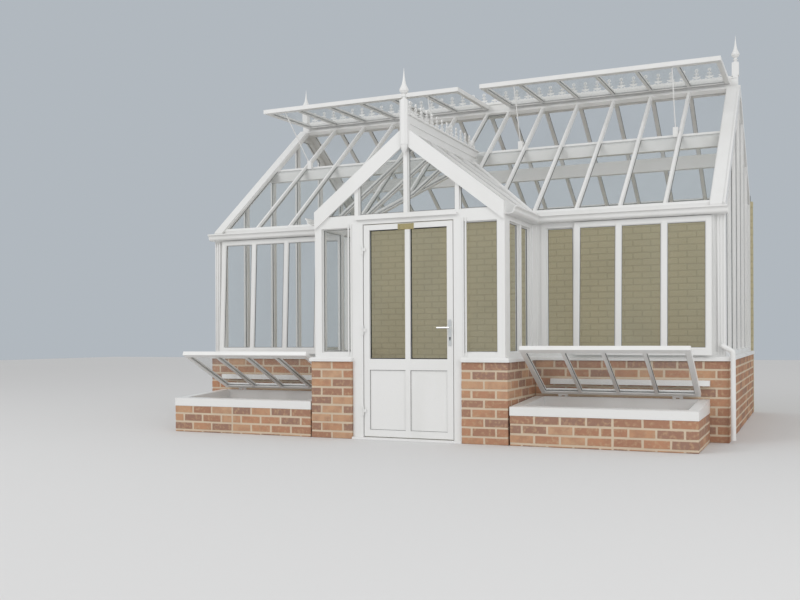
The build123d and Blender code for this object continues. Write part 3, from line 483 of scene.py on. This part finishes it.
def wallPiece(name, cadNodes, slot, joints, runs, cores, top):
    rng = random.Random(bricks["seed"])
    mesh = bmesh.new()
    layer = mesh.loops.layers.color.new("tone")
    pitch = bricks["height"] + bricks["joint"]
    for course in range(math.ceil(top / pitch)):
        high = top - course * pitch
        low = max(high - bricks["height"], 0.0)
        if high - low > bricks["lowest"]:
            for run in runs:
                layRun(mesh, layer, run, course, low, high, rng)
    brickFaces = len(mesh.faces)
    for low, high in cores:
        addBox(mesh, low, high, bricks["coreTone"], layer)
    mesh.faces.ensure_lookup_table()
    for face in mesh.faces[brickFaces:]:
        face.material_index = 1
    piece = finishMesh(mesh, name, [finishes[slot], joints], "house", bricks["edge"])
    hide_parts(*cadNodes)
    return piece


def boxAcross(side, x0, x1, y0, y1, top):
    a, b = sorted((side * x0, side * x1))
    return ((a, y0, 0), (b, y1, top))


def dwarfWalls():
    frontLow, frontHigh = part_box("brick_fronts")
    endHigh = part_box("brick_ends")[1]
    porchLow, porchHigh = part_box("brick_porch_sides")
    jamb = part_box("door_frame")[1].x
    thick = bricks["thick"]
    rec = bricks["recess"]
    outer, front, inner, back, top = frontHigh.x, frontLow.y, frontHigh.y, endHigh.y, frontHigh.z
    porchOut, porchFront = porchHigh.x, porchLow.y
    runs = []
    cores = []
    for side in (1, -1):
        ends = sorted((side * (outer - thick), side * outer))
        porchSides = sorted((side * (porchOut - thick), side * porchOut))
        runs.append(("X", side * outer, side * porchOut, front, inner, True))
        runs.append(("Y", front, back, *ends, False))
        runs.append(("X", side * porchOut, side * jamb, porchFront, porchFront + thick, True))
        runs.append(("Y", porchFront, inner, *porchSides, False))
        cores.append(boxAcross(side, porchOut, outer - rec, front + rec, inner - rec, top))
        cores.append(boxAcross(side, outer - thick + rec, outer - rec, inner - rec, back, top))
        porchBack = porchFront + thick - rec
        cores.append(boxAcross(side, jamb + rec, porchOut - rec, porchFront + rec, porchBack, top))
        cores.append(
            boxAcross(side, porchOut - thick + rec, porchOut - rec, porchBack, inner, top)
        )
    return runs, cores, top


def coldWalls():
    low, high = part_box("cold_frame_walls")
    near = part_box("brick_porch_sides")[1].x + bricks["coldGap"]
    far, front, back, top = high.x, low.y, high.y, high.z
    thick = bricks["thick"]
    rec = bricks["recess"]
    runs = []
    cores = []
    for side in (1, -1):
        nearEnds = sorted((side * near, side * (near + thick)))
        farEnds = sorted((side * (far - thick), side * far))
        middle = (near + far) / 2 + bricks["length"] / 2
        meeting = middle - bricks["joint"]
        runs.append(("X", side * near, side * meeting, front, front + thick, True))
        runs.append(("X", side * far, side * middle, front, front + thick, True))
        runs.append(("Y", front, back, *nearEnds, False))
        runs.append(("Y", front, back, *farEnds, False))
        turn = front + thick - rec
        cores.append(boxAcross(side, near + rec, far - rec, front + rec, turn, top))
        cores.append(boxAcross(side, near + rec, near + thick - rec, turn, back, top))
        cores.append(boxAcross(side, far - thick + rec, far - rec, turn, back, top))
    return runs, cores, top


# One straight run, whose end brick turns in every other course
def backWall():
    low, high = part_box("back_wall")
    rec = bricks["recess"]
    runs = [
        ("X", high.x, low.x, low.y, high.y, True),
        ("Y", low.y, high.y, high.x - bricks["thick"], high.x, False),
    ]
    core = ((low.x + rec, low.y + rec, 0), (high.x - rec, high.y - rec, high.z))
    return runs, [core], high.z


dwarfNodes = ("brick_fronts", "brick_ends", "brick_porch_sides")
wallPiece("dwarfWalls", dwarfNodes, "brick", mortar, *dwarfWalls())
wallPiece("coldFrameBricks", ("cold_frame_walls",), "brick", mortar, *coldWalls())
wallPiece("backBricks", ("back_wall",), "painted_wall", shadedCreamJoint, *backWall())
print("brickwork laid")

# Cresting cast flat: a pierced ring on a crossed stem, with a scroll and a leaf on each side
crest = {
    "pitch": 0.136, "base": 0.015, "thick": 0.01, "solid": 0.008, "stem": 0.0048, "cross": 0.062,
    "crossReach": 0.02, "crossThick": 0.009, "ring": 0.098, "ringOuter": 0.0185,
    "ringInner": 0.0095, "ringSides": 12, "ball": 0.006, "ballSides": 8,
    "leaf": ((0.004, 0.004), (0.02, 0.014), (0.034, 0.02), (0.045, 0.031), (0.034, 0.034),
             (0.018, 0.031), (0.004, 0.036)),
    "scroll": ((0.004, 0.044), (0.014, 0.046), (0.02, 0.053), (0.017, 0.059), (0.011, 0.057)),
    "scrollWidth": 0.0046, "scallop": 0.011, "scallopAt": 0.036652, "scallopThick": 0.008,
    "scallopSides": 10, "porchTop": 3.0003, "porchBack": 1.111,
}


def addPlate(mesh, points, place, along, thick):
    sides = []
    for offset in (-thick / 2, thick / 2):
        ring = []
        for u, v in points:
            spot = Vector(place) + Vector((0, 0, v))
            spot += Vector((u, offset, 0)) if along == "X" else Vector((offset, u, 0))
            ring.append(mesh.verts.new(spot))
        sides.append(ring)
    mesh.faces.new(sides[0])
    mesh.faces.new(list(reversed(sides[1])))
    for k in range(len(points)):
        following = (k + 1) % len(points)
        mesh.faces.new((sides[0][following], sides[0][k], sides[1][k], sides[1][following]))


def addStrip(mesh, points, width, place, along, thick):
    for (u0, v0), (u1, v1) in zip(points, points[1:]):
        span = math.hypot(u1 - u0, v1 - v0)
        du, dv = (u1 - u0) / span * width / 2, (v1 - v0) / span * width / 2
        corners = (
            (u0 - dv - du, v0 + du - dv), (u1 - dv + du, v1 + du + dv),
            (u1 + dv + du, v1 - du + dv), (u0 + dv - du, v0 - du - dv),
        )
        addPlate(mesh, corners, place, along, thick)


def addDisc(mesh, centre, outer, inner, sides, place, along, thick):
    turns = [2 * math.pi * k / sides for k in range(sides)]
    if inner == 0:
        points = [(centre[0] + outer * math.cos(t), centre[1] + outer * math.sin(t)) for t in turns]
        addPlate(mesh, points, place, along, thick)
        return
    for t0, t1 in zip(turns, turns[1:] + [2 * math.pi]):
        corners = [
            (centre[0] + radius * math.cos(t), centre[1] + radius * math.sin(t))
            for radius, t in ((inner, t0), (outer, t0), (outer, t1), (inner, t1))
        ]
        addPlate(mesh, corners, place, along, thick)


def plateCorners(half, low, high):
    return ((-half, low), (half, low), (half, high), (-half, high))


def addMotif(mesh, place, along):
    thick = crest["thick"]
    base = crest["base"]
    stem = crest["stem"]
    cross = base + crest["cross"]
    reach = crest["crossReach"]
    ring = (0, base + crest["ring"])
    addPlate(mesh, plateCorners(stem, base, ring[1]), place, along, thick)
    arms = plateCorners(reach, cross - stem, cross + stem)
    addPlate(mesh, arms, place, along, crest["crossThick"])
    addDisc(
        mesh, ring, crest["ringOuter"], crest["ringInner"], crest["ringSides"], place, along, thick
    )
    for side in (-1, 1):
        ball = (side * reach, cross)
        addDisc(mesh, ball, crest["ball"], 0, crest["ballSides"], place, along, thick)
        leaf = [(side * u, base + v) for u, v in crest["leaf"]]
        addPlate(mesh, leaf, place, along, thick)
        scroll = [(side * u, base + v) for u, v in crest["scroll"]]
        addStrip(mesh, scroll, crest["scrollWidth"], place, along, thick)
        scallop = (side * crest["scallopAt"], base)
        addDisc(
            mesh, scallop, crest["scallop"], 0, crest["scallopSides"], place, along,
            crest["scallopThick"],
        )


def crestingRun(mesh, along, start, end, place):
    thick = crest["thick"]
    length = end - start
    middle = (start + end) / 2
    count = int(length // crest["pitch"])
    half = length / 2
    centre = (middle, place[1], place[2]) if along == "X" else (place[0], middle, place[2])
    addPlate(mesh, plateCorners(half, 0, crest["base"]), centre, along, thick)
    for k in range(count):
        shift = (k - (count - 1) / 2) * crest["pitch"]
        spot = Vector(centre) + (Vector((shift, 0, 0)) if along == "X" else Vector((0, shift, 0)))
        addMotif(mesh, spot, along)


crestLow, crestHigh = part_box("cresting")
mainRidgeTop = (0, crestHigh.y - crest["solid"] / 2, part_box("ridges")[1].z)
casting = bmesh.new()
crestingRun(casting, "X", crestLow.x, crestHigh.x, mainRidgeTop)
crestingRun(casting, "Y", crestLow.y, crest["porchBack"], (0, 0, crest["porchTop"]))
castCresting = finishMesh(
    casting, "castCresting", [finishes["white_frame"]], "house"
)
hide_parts("cresting")
print("cresting cast")

# Gaskets: a thin raised line inside the edge of every pane, on both faces
gasket = {
    "width": 0.004, "doorWidth": 0.008, "lidWidth": 0.004, "proud": 0.0015, "lift": 0.0001,
    "smallestPane": 0.02, "sameSpot": 0.00002, "flatWithin": math.radians(1),
}
bead = {"width": 0.009, "rise": 0.007}


def paneFaces(nodeName):
    glass = nodes[nodeName]
    mesh = bmesh.new()
    mesh.from_mesh(glass.data)
    mesh.transform(glass.matrix_world)
    bmesh.ops.remove_doubles(mesh, verts=mesh.verts[:], dist=gasket["sameSpot"])
    bmesh.ops.dissolve_limit(
        mesh, angle_limit=gasket["flatWithin"], verts=mesh.verts[:], edges=mesh.edges[:]
    )
    faces = [
        ([corner.co.copy() for corner in face.verts], face.normal.copy())
        for face in mesh.faces if face.calc_area() > gasket["smallestPane"]
    ]
    mesh.free()
    return faces


def insetLoop(points, normal, width):
    inset = []
    for before, here, after in zip(points[-1:] + points[:-1], points, points[1:] + points[:1]):
        first = normal.cross((here - before).normalized())
        second = normal.cross((after - here).normalized())
        inset.append(here + (first + second) * (width / (1.0 + first.dot(second))))
    return inset


# A closed strip along an outline, from rings of corners that lie at a depth and a height
def addStripRing(mesh, points, normal, corners):
    rings = []
    for inside, height in corners:
        outline = insetLoop(points, normal, inside)
        rings.append([mesh.verts.new(point + normal * height) for point in outline])
    for first, second in zip(rings, rings[1:] + rings[:1]):
        for k in range(len(points)):
            n = (k + 1) % len(points)
            mesh.faces.new((first[k], first[n], second[n], second[k]))


def gasketPiece(name, nodeNames, body, width, material, inside=0.0):
    mesh = bmesh.new()
    for nodeName in nodeNames:
        for points, normal in paneFaces(nodeName):
            outer, inner, low, high = inside, inside + width, gasket["lift"], gasket["proud"]
            corners = ((outer, high), (inner, high), (inner, low), (outer, low))
            addStripRing(mesh, points, normal, corners)
    bmesh.ops.recalc_face_normals(mesh, faces=mesh.faces[:])
    return finishMesh(mesh, name, [material], body)


# Sloped beads from the edge of the opening down to the pane
def beadPiece(name, nodeNames, body):
    mesh = bmesh.new()
    for nodeName in nodeNames:
        for points, normal in paneFaces(nodeName):
            low = gasket["lift"]
            corners = ((0.0, bead["rise"]), (bead["width"], low), (0.0, low))
            addStripRing(mesh, points, normal, corners)
    bmesh.ops.recalc_face_normals(mesh, faces=mesh.faces[:])
    return finishMesh(mesh, name, [finishes["white_frame"]], body)


wallGlass = ("sash_glass", "front_glass", "end_glass", "porch_glass")
roofGlass = ("front_roof_glass", "rear_roof_glass", "porch_roof_glass", "vent_glass")
beadPiece("wallBeads", wallGlass, "house")
gasketPiece("wallGaskets", wallGlass, "house", gasket["width"], greyRubber, bead["width"])
gasketPiece("roofGaskets", roofGlass, "house", gasket["width"], greyRubber)
gasketPiece("doorGaskets", ("door_glass",), "door", gasket["doorWidth"], rubber)
lidWidth = gasket["lidWidth"]
gasketPiece("lidGasketsRight", ("lid_glass_right",), "cold_lid_right", lidWidth, greyRubber)
gasketPiece("lidGasketsLeft", ("lid_glass_left",), "cold_lid_left", lidWidth, greyRubber)
print("panes sealed")

# Raised lines on posts and ridges, where the real bars have a stepped section
flute = {
    "wide": 0.012, "proud": 0.008, "edge": 0.002, "low": 0.775, "high": 2.01,
    "cornerAt": (2.634, 2.659, 2.686), "cornerFace": 0.0,
    "jambAt": (0.556, 0.584), "jambFace": -0.88,
}
flutes = bmesh.new()
for side in (1, -1):
    for places, face in (
        (flute["cornerAt"], flute["cornerFace"]), (flute["jambAt"], flute["jambFace"])
    ):
        for place in places:
            x0, x1 = side * place - flute["wide"] / 2, side * place + flute["wide"] / 2
            addBox(flutes, (x0, face - flute["proud"], flute["low"]), (x1, face, flute["high"]))
finishMesh(flutes, "postFlutes", [finishes["white_frame"]], "house", flute["edge"])

ridgeLine = {
    "high": 0.01, "proud": 0.008, "edge": 0.002, "reach": 2.66, "frontFace": 1.945,
    "frontLevels": (3.716,), "rearFace": 2.015, "rearLevels": (3.64, 3.716),
    "porchFace": 0.03, "porchLevels": (2.896, 2.972), "porchEnds": (-0.83, 1.0),
}
lines = bmesh.new()
for levels, face, way in (
    (ridgeLine["frontLevels"], ridgeLine["frontFace"], -1),
    (ridgeLine["rearLevels"], ridgeLine["rearFace"], 1),
):
    near, far = sorted((face, face + way * ridgeLine["proud"]))
    for level in levels:
        foot = (-ridgeLine["reach"], near, level)
        addBox(lines, foot, (ridgeLine["reach"], far, level + ridgeLine["high"]))
for side in (1, -1):
    face = side * ridgeLine["porchFace"]
    near, far = sorted((face, side * (ridgeLine["porchFace"] + ridgeLine["proud"])))
    front, back = ridgeLine["porchEnds"]
    for level in ridgeLine["porchLevels"]:
        addBox(lines, (near, front, level), (far, back, level + ridgeLine["high"]))
finishMesh(
    lines, "ridgeBeads", [finishes["white_frame"]], "house", ridgeLine["edge"]
)
print("trim raised")


# Thin frames round an opening, as boxes along a flat face
def addFrame(mesh, low, high, width, near, far):
    (a0, b0), (a1, b1) = low, high
    bars = (
        (a0, b0, a1, b0 + width), (a0, b1 - width, a1, b1),
        (a0, b0 + width, a0 + width, b1 - width), (a1 - width, b0 + width, a1, b1 - width),
    )
    for p0, q0, p1, q1 in bars:
        addBox(mesh, (p0, near, q0), (p1, far, q1))


# Door: fine dark lines round the sunk panels, and a bare plate over them
door = {
    "shift": 0.014, "stile": 0.057, "muntin": 0.048, "midLow": 0.645, "foot": 0.062, "sink": 0.012,
    "line": 0.004, "lineProud": 0.0015, "plateHalf": 0.08,
    "plateLow": 1.932, "plateHigh": 1.986, "plateThick": 0.0025, "plateEdge": 0.0008,
    "glassBehind": 0.026, "leafThick": 0.044,
}
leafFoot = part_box("door_leaf")[0].z
doorGlassLow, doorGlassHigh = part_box("door_glass")
leafFront = doorGlassLow.y - door["glassBehind"]
leafBack = leafFront + door["leafThick"]
leafLeft = doorGlassLow.x - door["stile"]
leafRight = doorGlassHigh.x + door["stile"]
columns = (
    (leafLeft + door["stile"], door["shift"] - door["muntin"] / 2),
    (door["shift"] + door["muntin"] / 2, leafRight - door["stile"]),
)
panelLines = bmesh.new()
for x0, x1 in columns:
    for near, far in (
        (leafFront + door["sink"] - door["lineProud"], leafFront + door["sink"]),
        (leafBack - door["sink"], leafBack - door["sink"] + door["lineProud"]),
    ):
        low = (x0, leafFoot + door["foot"])
        high = (x1, door["midLow"])
        addFrame(panelLines, low, high, door["line"], near, far)
finishMesh(panelLines, "panelLines", [greyRubber], "door")
plate = bmesh.new()
addBox(
    plate, (-door["plateHalf"], leafFront - door["plateThick"], door["plateLow"]),
    (door["plateHalf"], leafFront, door["plateHigh"]),
)
finishMesh(plate, "barePlate", [brass], "door", door["plateEdge"])

# Lock under each lever: a round barrel with its tail below, and on it a thin black sheet, painted
# shade standing in for the keyway slot
lock = {
    "level": 0.938, "plate": 0.006, "radius": 0.0085, "sides": 16, "tailHalf": 0.005, "tail": 0.022,
    "proud": 0.002, "keyHalf": 0.0011, "keyLong": 0.0055, "keyProud": 0.0004,
}
lockAt = Vector((leafRight - door["stile"] / 2, 0, lock["level"]))
barrels = bmesh.new()
keywayShades = bmesh.new()
for way, plateFace in ((-1, leafFront - lock["plate"]), (1, leafBack + lock["plate"])):
    near, far = sorted((plateFace, plateFace + way * lock["proud"]))
    addBox(
        barrels, (lockAt.x - lock["tailHalf"], near, lockAt.z - lock["tail"]),
        (lockAt.x + lock["tailHalf"], far, lockAt.z),
    )
    centre = Matrix.Translation((lockAt.x, (near + far) / 2, lockAt.z))
    bmesh.ops.create_cone(
        barrels, cap_ends=True, segments=lock["sides"], radius1=lock["radius"],
        radius2=lock["radius"], depth=far - near + lock["keyProud"],
        matrix=centre @ Matrix.Rotation(math.pi / 2, 4, "X"),
    )
    keyFace = plateFace + way * (lock["proud"] + lock["keyProud"])
    keyNear, keyFar = sorted((keyFace - way * lock["keyProud"], keyFace + way * lock["keyProud"]))
    addBox(
        keywayShades, (lockAt.x - lock["keyHalf"], keyNear, lockAt.z - lock["keyLong"]),
        (lockAt.x + lock["keyHalf"], keyFar, lockAt.z + lock["keyLong"]),
    )
finishMesh(barrels, "lockBarrels", [finishes["grey_metal"]], "door")
# The keyway sheets use the black gasket rubber as painted shade
finishMesh(keywayShades, "keywayShades", [rubber], "door")
print("door dressed")

# Floor, light and camera
stageLook = {
    "floor": (0.7, 0.7, 0.7), "roughness": 0.9, "below": 0.0005, "size": 60.0,
    "skyStrength": 0.74, "skyTone": (1, 1, 1), "backdrop": (0.44, 0.48, 0.52),
}
floorMesh = bmesh.new()
half = stageLook["size"] / 2
square = ((-half, -half), (half, -half), (half, half), (-half, half))
corners = [floorMesh.verts.new((x, y, 0)) for x, y in square]
floorMesh.faces.new(corners)
floorData = bpy.data.meshes.new("studioFloor")
floorMesh.to_mesh(floorData)
floorMesh.free()
studioFloor = bpy.data.objects.new("studioFloor", floorData)
bpy.context.scene.collection.objects.link(studioFloor)
floorFinish = Finish(
    "floorPaint", {"Roughness": stageLook["roughness"], "Base Color": rgb(*stageLook["floor"])}
)
floorData.materials.append(floorFinish.material)
studioFloor.location.z = -stageLook["below"]

# The sky lights the house, and what looks past the house sees the backdrop at full strength
world = bpy.data.worlds.new("softSky")
bpy.context.scene.world = world
world.use_nodes = True
sky = Shading(world.node_tree, "Background")
seen = sky.add("ShaderNodeLightPath", output="Is Camera Ray")
mirroredOrPassed = seen.math(
    "MAXIMUM", seen.beside("Is Glossy Ray"), seen.beside("Is Transmission Ray")
)
shown = seen.math("MAXIMUM", seen, mirroredOrPassed)
sky.feed("Strength", shown + (1 - shown) * stageLook["skyStrength"])
sky.feed("Color", sky.mix(shown, stageLook["skyTone"], stageLook["backdrop"]))

lamps = {
    "key": {"place": (-7.0, -10.0, 9.5), "aim": (0, 0.5, 1.2), "size": 6.0, "power": 430.0},
    "fill": {"place": (9.0, -8.0, 5.0), "aim": (0, 0.5, 1.5), "size": 6.0, "power": 260.0},
}
for name, lamp in lamps.items():
    light = bpy.data.lights.new(name, "AREA")
    light.size = lamp["size"]
    light.energy = lamp["power"]
    holder = bpy.data.objects.new(name, light)
    holder.location = lamp["place"]
    aim = Vector(lamp["aim"]) - Vector(lamp["place"])
    holder.rotation_euler = aim.to_track_quat("-Z", "Y").to_euler()
    bpy.context.scene.collection.objects.link(holder)

view = {
    "place": (3.398, -8.715, 0.947), "yaw": 0.4157, "roll": 0.0049, "focalPixels": 935.42,
    "horizonRow": 337.18, "width": 800, "height": 600, "sensor": 36.0,
}
lens = bpy.data.cameras.new("photoCamera")
lens.sensor_width = view["sensor"]
lens.lens = view["sensor"] * view["focalPixels"] / view["width"]
lens.shift_y = (view["horizonRow"] - view["height"] / 2) / view["width"]
camera = bpy.data.objects.new("photoCamera", lens)
turn = Matrix.Rotation(view["yaw"], 4, "Z") @ Matrix.Rotation(math.radians(90), 4, "X")
tilt = Matrix.Rotation(-view["roll"], 4, "Z")
camera.matrix_world = Matrix.Translation(view["place"]) @ turn @ tilt
bpy.context.scene.collection.objects.link(camera)
bpy.context.scene.camera = camera
bpy.context.scene.view_settings.view_transform = "Standard"
